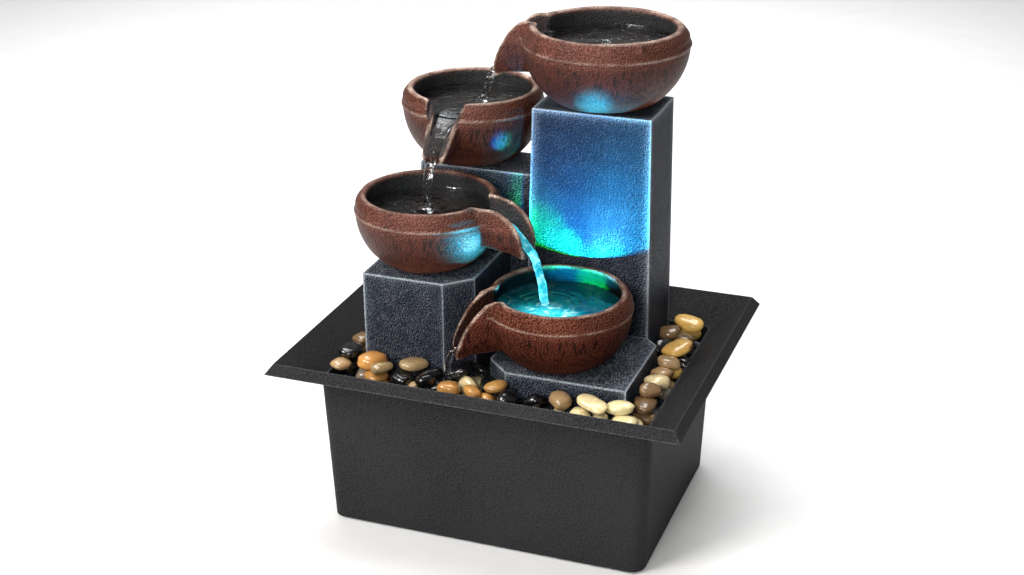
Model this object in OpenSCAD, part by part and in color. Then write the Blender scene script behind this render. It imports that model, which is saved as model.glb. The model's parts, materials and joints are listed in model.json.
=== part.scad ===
// Tabletop fountain: four pottery bowls on stepped slate pillars over a planter-style basin,
// with a submersible pump below and a lamp under the lowest pool. Millimetres, +Z up,
// origin on the resting plane under the middle of the basin.

/* [Basin] */
// Half width of the flange at its ridge
ridge_hw = 102.4; // [100:0.1:106]
// Half depth of the flange at its ridge
ridge_hd = 79.6; // [78:0.1:82]
// Height of the ridge above the table
ridge_z = 94.4; // [93:0.1:98]
// Width of the flange from its ridge in to the opening
flange_w = 17; // [15:0.1:18]
// How far the opening's edge lies below the ridge
flange_fall = 12.4; // [11:0.1:14]
// Width of the chamfer outside the ridge
lip_w = 3.7; // [3:0.1:5]
// Height of that chamfer
lip_h = 5.1; // [4:0.1:6]
// Draft of the basin's walls, measured across its height
wall_draft = 3; // [2:0.1:4]
// Thickness of the basin's walls and floor
wall = 2.4; // [2:0.1:3]
// Corner radius of the basin
basin_r = 7; // [5:0.5:9]

/* [Tower base] */
// Height of the top of the plate that carries the pillars and pebbles
plate_top = 73; // [71:0.5:74]
// Thickness of that plate
plate_t = 4; // [3:0.5:5]
// Wall thickness of the cast pillars
pillar_wall = 3.5; // [3:0.5:5]

/* [Pillars] */
// Height of the top of the tall pillar
tall_top = 208.1; // [205:0.1:210]
// Height of the top of the middle pillar
middle_top = 169.2; // [167:0.1:171]
// Height of the top of the front pillar
front_top = 131.8; // [130:0.1:133]
// Height of the top of the plinth
plinth_top = 91.9; // [90:0.1:93]

/* [Bowls] */
// Height of a bowl
bowl_h = 37.6; // [36:0.1:39]
// Radius of a bowl at the bead below its rim
bowl_r = 37.4; // [36:0.1:38]
// Width of the rolled rim
rim_w = 4.1; // [3.5:0.1:5]
// Thickness of a bowl's floor
floor_t = 7.4; // [6:0.1:9]
// Thickness of a spout's side walls
spout_wall = 2.8; // [2.4:0.1:3.2]

/* [Pump and tube] */
// Outer radius of the riser tube
tube_r = 4.5; // [4:0.1:5]
// Inner radius of the riser tube
tube_bore = 3; // [2.5:0.1:3.2]
// Height of the pump's axis above the table
pump_z = 26; // [25:0.5:28]
// Half width and half height of the pump's motor block
motor_h = 16; // [16:0.5:18]
// Travel of the flow regulator
regulator_travel = 8; // [4:0.5:8]

/* [Pebbles] */
// Distance between neighbouring pebbles
pebble_pitch = 12.4; // [12.2:0.1:14]
// Half thickness of a pebble
pebble_t = 5; // [4:0.1:5]

/* [Hidden] */
$fn = 64;
eps = 0.01;
lap = 1;

foot_h = 1.2;
foot_r = 6;
foot_x = 68;
foot_y = 46;
basin_z = foot_h;
open_hw = ridge_hw - flange_w;
open_hd = ridge_hd - flange_w;
open_z = ridge_z - flange_fall;
tub_out_x = 1.3;
tub_out_y = 1.5;
tub_hw = open_hw + tub_out_x;
tub_hd = open_hd + tub_out_y;
flange_t = 2.4;
lip_turn = 1;
lip_t = 1.6;
ridge_t = 0.6;
floor_z = basin_z + wall;
post_r = 4.5;
POSTS = [[-76, -53.5], [76, -53.5], [76, 53.5], [-76, 53.5], [0, -53.5], [-32, 53.5]];
post_top = plate_top - plate_t;

grommet_x = 10;
grommet_z = 60;
grommet_neck = 3.6;
grommet_flange = 5.6;
grommet_flange_t = 1.4;
grommet_bore = 1.9;
grommet_groove = wall + 0.4;
wall_tilt = atan(wall_draft / (open_z - basin_z));
grommet_y = tub_hd - wall_draft * (open_z - grommet_z) / (open_z - basin_z) - wall / 2;

plate_hw = 82.5;
plate_hd = 60;
plate_r = 7.5;
drain_r = 2.6;
drain_pitch = 12;
drain_y = -52.5;
drain_x = -11;
plate_lead_hole = 5;
edge_x = 76.2;
edge_y = 53.4;

// Tall pillar: left, right, front and back at its top, with the draft added towards its foot
tall = [-0.9, 60.6, 16.8, 58.6];
tall_draft = 3.4;
middle = [-66.2, -2.8, 26.3, 58.6];
front = [-70.5, -15.2, -40, 25.6];
front_chamfer = 12.4;
// How much of the wall thickness a cut corner's inner ends move by
chamfer_share = 0.4;
plinth_box = [-5.2, 69.1, -45.5, 16];
plinth_cut_left = 12.4;
plinth_cut_right = 7;

// Each bowl: centre x, centre y, base height, radial factor, height factor
TOP = [30.3, 39.3, tall_top, 1.11, 1.06];
MIDDLE = [-43.5, 45, middle_top, 0.99, 1.04];
LEFT = [-45.9, -12.2, front_top, 0.99, 0.985];
RIGHT = [26.7, -20.6, plinth_top, 0.98, 0.99];
// Each spout: direction, where its top starts to fall, tip distance, drop of the tip, roundness,
// and half width at the tip
TOP_SPOUT = [177, 40, 59, 32, 1.5, 8];
MIDDLE_SPOUT = [266, 27, 49, 29, 1, 6];
LEFT_SPOUT = [352, 39, 57.5, 26, 2, 8];
RIGHT_SPOUT = [210, 33, 53, 33, 1.5, 8];

belly_off = 4;
bowl_wall = 5.2;
rim_in = 2.3;
belly_z = 29;
bead_r = 1.3;
foot_ring_r = 18.5;
arc_n = 12;
edge_n = 10;
spout_root = 12;
spout_waist = 9.8;
spout_start = 20;
spout_keel = 4.5;
spout_tip_t = 4;
channel_lift = 3.2;
channel_depth = 9;
reach_up = 20;

tube_x = TOP[0];
tube_y = TOP[1];
tube_fit = 0.2;
tube_room = 0.8;
nozzle_r = tube_bore - 0.05;
nozzle_top = pump_z + 30;
tube_bottom = pump_z + 18;
tube_top = tall_top + floor_t * TOP[4];
fitting_flange = 1.6;
fitting_r = 7.5;
fitting_neck_r = 4.4;
fitting_h = 9;
spigot_len = 14;
outlet_r = 2;

lamp_x = RIGHT[0];
lamp_y = RIGHT[1];
lamp_floor = plinth_top + floor_t * RIGHT[4];
lamp_r = 11;
lamp_h = 8;
lamp_wall = 1.8;
lamp_base = 1.6;
board_t = 1.4;
led_size = 2.8;
led_t = 1.2;
led_in = 5.4;
seal_z = 4.6;
seal_t = 1.2;
seal_w = 1.6;
lens_z = seal_z + seal_t;
lens_proud = 0.8;
lead_r = 1.3;
lead_hole = 1.7;
plug_z = 30;
plug_len = 14;
socket_h = 12;
socket_foot = floor_z - plug_z + socket_h;
plug_pin_r = 1;
pin_x = 1.8;
pin_len = 6;
pin_room = 0.05;
holder_side = 14;
holder_t = 2;
lead_in = 0.5;
plug_skirt_r = 4;

well_r = 7;
shaft_r = 1;
volute_r = 10.5;
volute_half = 14;
cover_gap = 0.3;
intake_len = 15;
slot_n = 5;
// The pump's stations along its axis, measured from the riser tube
motor_x0 = -40;
volute_x0 = -6;
volute_x1 = 6;
cover_x1 = 9;
well_x0 = -25;
well_x1 = -3;
shaft_x0 = -27;
coil_x0 = -39.6;
coil_x1 = -30;
core_x0 = -38;
core_x1 = -9;
plate_x0 = -42;
chamber_x0 = -5;
disc_x0 = -4.4;
vane_x0 = -3.4;
rotor_x0 = -23.5;
magnet_x0 = -22.5;
intake_x0 = 5.6;
intake_x1 = cover_x1 + intake_len;
intake_wall = 2;
intake_hy = volute_half + cover_gap + intake_wall;
// Heights and half sizes of the pump's inner pieces
limb_z = 10.5;
core_hy = 8;
core_hz = 2;
back_t = 4;
core_room = 0.3;
branch_out = [31.3, 20];
hub_r = 3.2;
disc_r = 8.6;
disc_t = 1.4;
vane_t = 1.2;
vane_in = 2;
vane_len = 6.4;
vane_h = 8;
well_room = 0.6;
bearing_room = 0.06;
eye_r = 5;
boss_r = 2.4;
collar_r = 5;
collar_h = 3;
guide_y = -3;
guide_half = 8.4;
guide_w = 1.8;
guide_depth = 2.8;
slider_w = 14.6;
slider_h = 18;
guide_h = slider_h + regulator_travel + 2;
slider_t = 1.6;
slider_z0 = -12;
slide_gap = 0.1;
tab_root = 0.1;
guide_z0 = -13;
hook_t = 0.8;
hook_w = 2.6;
hook_shift = 0.6;
// Slots of the intake cover: five rows across its end and two on each side
slot_cut = 8;
slot_y0 = -10;
slot_z0 = -11;
slot_pitch = 4;
slot_len = 14;
slot_w = 2;
side_slot_x0 = 13;
side_slot_pitch = 4.5;
side_slot_len = 18;
// How deep the pump's blind cuts run
bore_sink = 3;
bore_run = 40;
chamber_run = 20;
shaft_seat = 4;
plate_cut = 5;
cover_cut = 5;
bearing_cut = 3;
through_run = 60;
// Room in the motor block for the coil and the core, and the lengths of what runs in it
coil_room_x1 = -28.5;
coil_room_hy = 12;
coil_room_hz = 13;
core_slot_x0 = -34;
core_slot_end = 0.5;
coil_hy = 11;
coil_hz = 7.5;
coil_fit = 0.1;
lead_fit = 0.1;
shaft_len = 35;
hub_len = 25;
magnet_len = 17.5;
// Profile of a suction cup up to its stud: radius and height
CUP = [[0, 1.2], [3, 0.9], [4.6, 0], [5, 0], [5, 0.6], [3, 2.6], [2, 3]];
tab_w = 6;
tab_t = 2;
tab_out = 2.4;
sucker_x = [-35, -11];

// Inner leads, as points chosen along their way
PUMP_LEAD = [[-10.5, 39.3, 26], [-15, 39.3, 26], [-19.5, 40, 26], [-23, 42.5, 27.5], [-24, 46, 31],
             [-22, 49.5, 36], [-17, 52, 42], [-11, 53.5, 48], [-4, 54, 53.5], [2, 54, 57.5],
             [7, 55, 59.7], [9.7, 57.2, 60], [10, 59.4, 60]];
BRANCH_LEAD = [[-10.5, 31.3, 20], [-15, 31.3, 20], [-18.5, 29.5, 18.5], [-20, 25, 15.5], [-19, 18, 12],
               [-14, 9, 9], [-4, -3, 8], [7, -12, 8], [16, -18, 8.5], [22, -20.4, 10],
               [25.8, -20.6, 13], [26.7, -20.6, 18]];
lead_sides = 8;
// A direction that no stretch of either lead runs along
lead_up = [1, 1, -1];
pump_lead_r = 1.7;

// A block with its own outline at each end: [left, right, front, back]
module drafted(low, high, z0, z1) {
    intersection() {
        translate([0, high[3] + low[3] + 50, 0]) rotate([90, 0, 0])
            linear_extrude(4 * (high[3] + low[3] + 50))
                polygon([[low[0], z0], [low[1], z0], [high[1], z1], [high[0], z1]]);
        translate([-300, 0, 0]) rotate([90, 0, 90])
            linear_extrude(600)
                polygon([[low[2], z0], [low[3], z0], [high[3], z1], [high[2], z1]]);
    }
}

// A centred block that tapers between two half widths and half depths
module frustum(w0, d0, z0, w1, d1, z1) {
    drafted([-w0, w0, -d0, d0], [-w1, w1, -d1, d1], z0, z1);
}

module rounded_plate(hw, hd, r) {
    square([2 * hw, 2 * (hd - r)], center = true);
    square([2 * (hw - r), 2 * hd], center = true);
    for (x = [-1, 1], y = [-1, 1])
        translate([x * (hw - r), y * (hd - r)]) circle(r);
}

// A tub's solid outline, smaller at its foot than at its top
module tub(w0, d0, z0, w1, d1, z1, r) {
    hull() {
        for (x = [-1, 1], y = [-1, 1]) {
            translate([x * (w0 - r), y * (d0 - r), z0]) cylinder(h = eps, r = r, $fn = 32);
            translate([x * (w1 - r), y * (d1 - r), z1 - eps]) cylinder(h = eps, r = r, $fn = 32);
        }
    }
}

// The frame round the opening: a sloping face, a ridge, and a chamfer that turns down outside it
module flange() {
    slope = flange_fall / flange_w;
    under = flange_t * 1.2;
    lip_hw = ridge_hw + lip_w;
    lip_hd = ridge_hd + lip_w;
    lip_z = ridge_z - lip_h;
    difference() {
        union() {
            frustum(lip_hw, lip_hd, lip_z, ridge_hw, ridge_hd, ridge_z);
            frustum(lip_hw - lip_t, lip_hd - lip_t, lip_z - lip_turn, lip_hw, lip_hd, lip_z);
        }
        frustum(lip_hw - lip_t, lip_hd - lip_t, lip_z - lip_turn - eps,
                ridge_hw - ridge_t, ridge_hd - ridge_t, ridge_z - under);
    }
    frustum(open_hw, open_hd, open_z - under, ridge_hw, ridge_hd, open_z - under + slope * flange_w);
}

module basin() {
    color([0.09, 0.09, 0.1])
        difference() {
            union() {
                tub(tub_hw - wall_draft, tub_hd - wall_draft, basin_z,
                    tub_hw, tub_hd, open_z, basin_r);
                flange();
            }
            frustum(open_hw, open_hd, open_z, ridge_hw + flange_w, ridge_hd + flange_w,
                    ridge_z + flange_fall);
            difference() {
                tub(tub_hw - wall_draft - wall, tub_hd - wall_draft - wall, floor_z,
                    tub_hw - wall, tub_hd - wall, open_z + lap, basin_r - wall);
                posts();
            }
            grommet_place() translate([0, 0, -2 * wall]) cylinder(h = 4 * wall, r = grommet_neck);
        }
}

// Posts that the tower's plate stands on
module posts() {
    for (p = POSTS)
        translate([p[0], p[1], 0]) cylinder(h = post_top, r = post_r);
}

module basin_feet() {
    color([0.05, 0.05, 0.05])
        for (x = [-foot_x, foot_x], y = [-foot_y, foot_y])
            translate([x, y, 0]) cylinder(h = foot_h, r = foot_r);
}

// Puts a piece's local Z along the outward normal of the back wall
module grommet_place() {
    translate([grommet_x, grommet_y, grommet_z]) rotate([-90 - wall_tilt, 0, 0]) children();
}

module cord_grommet() {
    color([0.06, 0.06, 0.06])
        grommet_place()
            difference() {
                union() {
                    translate([0, 0, -grommet_groove / 2]) cylinder(h = grommet_groove, r = grommet_neck);
                    for (z = [grommet_groove / 2, -grommet_groove / 2 - grommet_flange_t])
                        translate([0, 0, z]) cylinder(h = grommet_flange_t, r = grommet_flange);
                }
                translate([0, 0, -2 * grommet_groove]) cylinder(h = 4 * grommet_groove, r = grommet_bore);
            }
}

module tower_base() {
    color([0.2, 0.23, 0.28])
        difference() {
            translate([0, 0, plate_top - plate_t]) linear_extrude(plate_t)
                rounded_plate(plate_hw, plate_hd, plate_r);
            translate([tube_x, tube_y, 0]) cylinder(h = plate_top + lap, r = tube_r + tube_room);
            translate([lamp_x, lamp_y, 0]) cylinder(h = plate_top + lap, r = plate_lead_hole);
            for (k = [-5:5])
                translate([k * drain_pitch, drain_y, 0]) cylinder(h = plate_top + lap, r = drain_r);
            for (k = [-3:0])
                translate([drain_x, k * drain_pitch, 0]) cylinder(h = plate_top + lap, r = drain_r);
        }
}

module pillar_tall() {
    foot = [tall[0] - tall_draft, tall[1] + tall_draft / 2, tall[2], tall[3]];
    w = pillar_wall;
    color([0.23, 0.27, 0.33])
        difference() {
            drafted(foot, tall, plate_top, tall_top);
            drafted([foot[0] + w, foot[1] - w, foot[2] + w, foot[3] - w],
                    [tall[0] + w, tall[1] - w, tall[2] + w, tall[3] - w],
                    plate_top - eps, tall_top - w - 1);
            translate([tube_x, tube_y, tall_top - 10]) cylinder(h = 20, r = tube_r + tube_fit);
        }
}

module pillar_middle() {
    fall = (middle_top - plate_top) * tall_draft / (tall_top - plate_top);
    foot = [middle[0], middle[1] - fall, middle[2], middle[3]];
    w = pillar_wall;
    color([0.23, 0.27, 0.33])
        difference() {
            drafted(foot, middle, plate_top, middle_top);
            drafted([foot[0] + w, foot[1] - w, foot[2] + w, foot[3] - w],
                    [middle[0] + w, middle[1] - w, middle[2] + w, middle[3] - w],
                    plate_top - eps, middle_top - w - 1);
        }
}

function front_outline(w) = [
    [front[0] + w, front[2] + w], [front[1] - front_chamfer - w * chamfer_share, front[2] + w],
    [front[1] - w, front[2] + front_chamfer + w * chamfer_share], [front[1] - w, front[3] - w],
    [front[0] + w, front[3] - w]];

module pillar_front() {
    color([0.2, 0.23, 0.29])
        difference() {
            translate([0, 0, plate_top]) linear_extrude(front_top - plate_top)
                polygon(front_outline(0));
            translate([0, 0, plate_top - eps]) linear_extrude(front_top - plate_top - pillar_wall - 1)
                polygon(front_outline(pillar_wall));
        }
}

function plinth_outline(w) = [
    [plinth_box[0] + plinth_cut_left + w * chamfer_share, plinth_box[2] + w],
    [plinth_box[1] - w, plinth_box[2] + w],
    [plinth_box[1] - w, plinth_box[3] - plinth_cut_right - w * chamfer_share],
    [plinth_box[1] - plinth_cut_right - w * chamfer_share, plinth_box[3] - w],
    [plinth_box[0] + w, plinth_box[3] - w],
    [plinth_box[0] + w, plinth_box[2] + plinth_cut_left + w * chamfer_share]];

module plinth() {
    color([0.2, 0.23, 0.29])
        difference() {
            translate([0, 0, plate_top]) linear_extrude(plinth_top - plate_top)
                polygon(plinth_outline(0));
            translate([0, 0, plate_top - eps]) linear_extrude(plinth_top - plate_top - pillar_wall)
                polygon(plinth_outline(pillar_wall));
            translate([lamp_x, lamp_y, plate_top]) cylinder(h = plinth_top, r = lead_hole);
        }
}

// Points on a circular stretch, from angle a0 to a1, stretched by sr and sh
function arc(cx, cz, r, a0, a1, n, sr, sh) =
    [for (i = [0:n]) let (a = a0 + (a1 - a0) * i / n)
        [sr * (cx + r * cos(a)), sh * (cz + r * sin(a))]];

// Outline of a bowl's wall and floor, from the axis out, up to the rim and back inside
function bowl_outline(sr, sh) =
    let (outer = bowl_r - belly_off, inner = bowl_r - belly_off - bowl_wall,
         low_out = -asin((belly_z - 1.6) / outer), low_in = -asin((belly_z - floor_t) / inner),
         rim_c = bowl_r - rim_in - rim_w / 2)
    concat(
        [[0, 0], [sr * foot_ring_r, 0], [sr * foot_ring_r, 1.6 * sh]],
        arc(belly_off, belly_z, outer, low_out, -4, arc_n, sr, sh),
        arc(bowl_r - 0.7, belly_z + 0.4, bead_r, -40, 70, 4, sr, sh),
        [[sr * (bowl_r - 0.9), sh * (belly_z + 2.1)], [sr * (bowl_r - 1.1), sh * (belly_z + 3.6)]],
        arc(rim_c, bowl_h - rim_w / 2, rim_w / 2, 0, 180, 8, sr, sh),
        arc(belly_off, belly_z, inner, -2, low_in, arc_n, sr, sh),
        [[0, sh * floor_t]]);

// Half outline of a bowl's inside, closed above the rim
function hollow_outline(sr, sh) =
    let (inner = bowl_r - belly_off - bowl_wall, low_in = -asin((belly_z - floor_t) / inner),
         rim_c = bowl_r - rim_in - rim_w / 2)
    concat([[0, sh * floor_t]],
           arc(belly_off, belly_z, inner, low_in, -2, arc_n, sr, sh),
           [[sr * (rim_c - rim_w / 2), sh * (bowl_h - rim_w / 2)],
            [sr * (rim_c - rim_w / 2), sh * bowl_h + reach_up], [0, sh * bowl_h + reach_up]]);

// Points along a spout's falling edge
function fall_edge(s, n) =
    [for (i = [0:n]) let (a = 90 * i / n)
        [s[1] + (s[2] - s[1]) * pow(sin(a), 2 / s[4]),
         -s[3] + spout_tip_t + (s[3] - spout_tip_t) * pow(cos(a), 2 / s[4])]];

// Side view of a spout, with its heights measured from the rim
function spout_side(s) = concat(
    [[spout_start, -s[3] + 6], [spout_start, 0]], fall_edge(s, edge_n),
    [[s[2] - 0.6, -s[3]], [s[2] - 7, -s[3] + 3.4]]);

// Side view of what lies above a spout's edge
function above_side(s) = concat(
    [[s[1], reach_up]], fall_edge(s, edge_n),
    [[s[2] + lap, -s[3] + spout_tip_t], [s[2] + lap, reach_up]]);

// Side view of its channel, open above and at the tip
function channel_side(s) = [
    [spout_start - 10, reach_up], [spout_start - 10, -channel_depth], [s[1] - 3, -channel_depth - 0.6],
    [s[2] - 7, -s[3] + 11], [s[2] + lap, -s[3] + channel_lift], [s[2] + 8, -s[3] + channel_lift],
    [s[2] + 8, reach_up]];

module side_prism(points) {
    rotate([90, 0, 0]) linear_extrude(60, center = true) polygon(points);
}

// Plan of a spout, w narrower on each side than its outside
module plan_prism(s, w) {
    translate([0, 0, -60]) linear_extrude(100)
        for (m = [0, 1])
            mirror([0, m])
                polygon([[0, 0], [0, spout_root - w], [s[1] - 8, spout_root - w],
                         [s[1] + 2, spout_waist - w], [s[2] + 2, s[5] - w], [s[2] + 2, 0]]);
}

// End view of a spout, narrowing downwards to its keel, w narrower on each side than its outside
module end_prism(s, w) {
    rotate([90, 0, 90]) linear_extrude(80)
        for (m = [0, 1])
            mirror([m, 0])
                polygon([[0, reach_up], [spout_root + 1 - w, reach_up], [spout_root + 1 - w, -0.1 * s[3]],
                         [0.86 * spout_root - w, -0.45 * s[3]], [0.66 * spout_root - w, -0.75 * s[3]],
                         [spout_keel - w, -s[3] - lap], [0, -s[3] - lap]]);
}

// A bowl with its spout: b is the bowl's record, s is its spout's
module bowl(b, s) {
    rim = bowl_h * b[4];
    translate([b[0], b[1], b[2]])
        difference() {
            union() {
                rotate_extrude($fn = 96) polygon(bowl_outline(b[3], b[4]));
                difference() {
                    translate([0, 0, rim]) rotate([0, 0, s[0]])
                        intersection() {
                            side_prism(spout_side(s));
                            plan_prism(s, 0);
                            end_prism(s, 0);
                        }
                    rotate_extrude($fn = 96) polygon(hollow_outline(b[3], b[4]));
                }
            }
            translate([0, 0, rim]) rotate([0, 0, s[0]]) {
                intersection() {
                    side_prism(channel_side(s));
                    plan_prism(s, spout_wall);
                    end_prism(s, spout_wall);
                }
                intersection() {
                    side_prism(above_side(s));
                    plan_prism(s, -0.5);
                }
            }
        }
}

module bowl_top() {
    color([0.36, 0.16, 0.11])
        difference() {
            bowl(TOP, TOP_SPOUT);
            translate([tube_x, tube_y, tall_top - 1]) cylinder(h = 20, r = tube_r + tube_fit / 2);
        }
}

module bowl_middle() {
    color([0.36, 0.16, 0.11]) bowl(MIDDLE, MIDDLE_SPOUT);
}

module bowl_left() {
    color([0.36, 0.16, 0.11]) bowl(LEFT, LEFT_SPOUT);
}

module bowl_right() {
    color([0.36, 0.16, 0.11])
        difference() {
            bowl(RIGHT, RIGHT_SPOUT);
            translate([lamp_x, lamp_y, plinth_top - 1]) cylinder(h = 20, r = lead_hole);
        }
}

// Evenly spaced points from one place to another
function row(from, to, n) = [for (i = [0:n - 1]) from + (to - from) * i / max(n - 1, 1)];

// Points a step apart, with every second one moved sideways
function zigzag(from, step, side, n) = [for (i = [0:n - 1]) from + i * step + i % 2 * side];

PEBBLES = concat(
    zigzag([-edge_x, -edge_y], [9.8, 0], [0, 7.1], 6),
    row([-14.8, -edge_y], [edge_x, -edge_y], 8),
    [[-15.2, -41.3]],
    row([-edge_x, -39.5], [-edge_x, edge_y], 8),
    row([edge_x, -edge_y + pebble_pitch], [edge_x, 10], 5),
    zigzag([edge_x, 22.5], [0, 10], [-7.2, 0], 4));

// One pebble, turned about its own middle so that it lies at an angle on the plate
module pebble(i) {
    flat = 0.15 + 0.55 * abs(sin(i * 67));
    tip = 20 * sin(i * 131);
    translate([PEBBLES[i][0], PEBBLES[i][1], plate_top + pebble_t + flat * abs(sin(tip))])
        rotate([0, 0, i * 77]) rotate([tip, 0, 0])
            rotate_extrude($fn = 32)
                intersection() {
                    union() {
                        translate([flat, 0]) circle(pebble_t, $fn = 32);
                        translate([0, -pebble_t]) square([flat, 2 * pebble_t]);
                    }
                    translate([0, -pebble_t]) square([2 * pebble_t, 2 * pebble_t]);
                }
}

module pebbles(kind) {
    for (i = [kind:3:len(PEBBLES) - 1]) pebble(i);
}

module pebbles_cream() {
    color([0.76, 0.66, 0.49]) pebbles(0);
}

module pebbles_brown() {
    color([0.5, 0.33, 0.17]) pebbles(1);
}

module pebbles_black() {
    color([0.06, 0.05, 0.05]) pebbles(2);
}

module riser_tube() {
    color([0.8, 0.85, 0.86])
        difference() {
            translate([tube_x, tube_y, tube_bottom]) cylinder(h = tube_top - tube_bottom, r = tube_r);
            translate([tube_x, tube_y, tube_bottom - lap])
                cylinder(h = tube_top - tube_bottom + 2 * lap, r = tube_bore);
        }
}

module outlet_fitting() {
    color([0.08, 0.08, 0.08])
        translate([tube_x, tube_y, tube_top])
            difference() {
                union() {
                    cylinder(h = fitting_flange, r = fitting_r);
                    cylinder(h = fitting_h, r = fitting_neck_r);
                    translate([0, 0, -spigot_len]) cylinder(h = spigot_len, r = nozzle_r);
                }
                translate([0, 0, -spigot_len - lap]) cylinder(h = 2 * spigot_len + 2 * lap, r = outlet_r);
            }
}

module lamp_housing() {
    color([0.1, 0.1, 0.1])
        translate([lamp_x, lamp_y, lamp_floor])
            difference() {
                cylinder(h = lamp_h, r = lamp_r);
                translate([0, 0, lamp_base]) cylinder(h = lamp_h, r = lamp_r - lamp_wall);
                translate([0, 0, -lap]) cylinder(h = lamp_h, r = lead_hole);
            }
}

module lamp_board() {
    color([0.85, 0.87, 0.85])
        translate([lamp_x, lamp_y, lamp_floor + lamp_base])
            difference() {
                cylinder(h = board_t, r = lamp_r - lamp_wall - 0.1);
                translate([0, 0, -lap]) cylinder(h = board_t + 2 * lap, r = lead_r + 0.2);
            }
}

module lamp_leds() {
    color([0.95, 0.95, 0.7])
        for (a = [0:60:300])
            translate([lamp_x, lamp_y, lamp_floor + lamp_base + board_t]) rotate([0, 0, a])
                translate([led_in, -led_size / 2, 0]) cube([led_size, led_size, led_t]);
}

module lamp_seal() {
    color([0.05, 0.05, 0.05])
        translate([lamp_x, lamp_y, lamp_floor + seal_z])
            difference() {
                cylinder(h = seal_t, r = lamp_r - lamp_wall);
                translate([0, 0, -lap]) cylinder(h = seal_t + 2 * lap, r = lamp_r - lamp_wall - seal_w);
            }
}

module lamp_lens() {
    color([0.7, 0.9, 0.95, 0.6])
        translate([lamp_x, lamp_y, lamp_floor + lens_z])
            cylinder(h = lamp_h - lens_z + lens_proud, r = lamp_r - lamp_wall);
}

module lamp_lead() {
    color([0.05, 0.05, 0.05])
        translate([lamp_x, lamp_y, plug_z + plug_len])
            cylinder(h = lamp_floor + lamp_base + board_t - plug_z - plug_len, r = lead_r);
}

module lamp_plug() {
    color([0.05, 0.05, 0.05])
        translate([lamp_x, lamp_y, plug_z]) {
            cylinder(h = plug_len, r = plug_skirt_r);
            for (x = [-pin_x, pin_x])
                translate([x, 0, -pin_len]) cylinder(h = pin_len + lap, r = plug_pin_r);
        }
}

// The socket stands on the basin's floor in a holder: two plates joined by four legs
module lamp_socket() {
    half = holder_side / 2;
    color([0.05, 0.05, 0.05])
        translate([lamp_x, lamp_y, plug_z - socket_h])
            difference() {
                union() {
                    cylinder(h = socket_h, r = plug_skirt_r);
                    for (z = [socket_foot, holder_t])
                        translate([-half, -half, z]) cube([holder_side, holder_side, holder_t]);
                    for (x = [-half, half - holder_t], y = [-half, half - holder_t])
                        translate([x, y, socket_foot])
                            cube([holder_t, holder_t, 2 * holder_t - socket_foot]);
                }
                for (x = [-pin_x, pin_x])
                    translate([x, 0, socket_h - pin_len - 2])
                        cylinder(h = pin_len + 2 + lap, r = plug_pin_r + pin_room);
                translate([0, 0, -lap]) cylinder(h = lap + lead_in, r = lead_r + pin_room);
            }
}

// A round lead along a list of points: the rings face the mean of the two stretches they join
function unit(v) = v / norm(v);
function along(p, i) = unit(p[min(i + 1, len(p) - 1)] - p[max(i - 1, 0)]);
function side_of(t) = unit(cross(t, lead_up));

module lead(p, r) {
    n = lead_sides;
    points = [for (i = [0:len(p) - 1])
        let (t = along(p, i), u = side_of(t), v = cross(t, u))
        for (k = [0:n - 1]) p[i] + r * (cos(360 * k / n) * u + sin(360 * k / n) * v)];
    last = (len(p) - 1) * n;
    faces = concat(
        [[for (k = [0:n - 1]) k]],
        [for (i = [0:len(p) - 2], k = [0:n - 1])
            [i * n + k, (i + 1) * n + k, (i + 1) * n + (k + 1) % n, i * n + (k + 1) % n]],
        [[for (k = [n - 1:-1:0]) last + k]]);
    polyhedron(points, faces, convexity = 6);
}

module branch_lead() {
    color([0.05, 0.05, 0.05]) lead(BRANCH_LEAD, lead_r);
}

module pump_lead() {
    color([0.05, 0.05, 0.05]) lead(PUMP_LEAD, pump_lead_r);
}

// Turns a piece's local Z to +X with its origin on the pump's axis, at x from the tube
module pump_place(x) {
    translate([tube_x + x, tube_y, pump_z]) rotate([90, 0, 90]) children();
}

// A box on the pump's axis from x0 to x1, hy wide to each side and hz tall to each side
module pump_box(x0, x1, hy, hz) {
    translate([tube_x + x0, tube_y - hy, pump_z - hz]) cube([x1 - x0, 2 * hy, 2 * hz]);
}

module pump_body() {
    color([0.07, 0.07, 0.08])
        difference() {
            union() {
                pump_box(motor_x0, volute_x0, motor_h, motor_h);
                pump_box(volute_x0 - eps, volute_x1, volute_half, volute_half);
                translate([tube_x, tube_y, pump_z + volute_half - lap])
                    cylinder(h = collar_h + lap, r = collar_r);
                translate([tube_x, tube_y, pump_z + volute_half])
                    cylinder(h = nozzle_top - pump_z - volute_half, r = nozzle_r);
            }
            translate([tube_x, tube_y, pump_z + volute_r - bore_sink]) cylinder(h = bore_run, r = outlet_r);
            pump_place(chamber_x0) cylinder(h = chamber_run, r = volute_r);
            pump_place(well_x0) cylinder(h = well_x1 - well_x0, r = well_r);
            pump_place(shaft_x0) cylinder(h = shaft_seat, r = shaft_r);
            pump_box(motor_x0 - lap, coil_room_x1, coil_room_hy, coil_room_hz);
            for (z = [-limb_z, limb_z])
                translate([0, 0, z])
                    pump_box(core_slot_x0, core_x1 + core_slot_end, core_hy + core_room, core_hz + core_room);
        }
}

module pump_end_plate() {
    color([0.1, 0.1, 0.11])
        difference() {
            pump_box(plate_x0, motor_x0, motor_h, motor_h);
            pump_place(plate_x0 - lap) cylinder(h = plate_cut, r = pump_lead_r + lead_fit);
            translate([0, branch_out[0] - tube_y, branch_out[1] - pump_z])
                pump_place(plate_x0 - lap) cylinder(h = plate_cut, r = lead_hole);
        }
}

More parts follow.
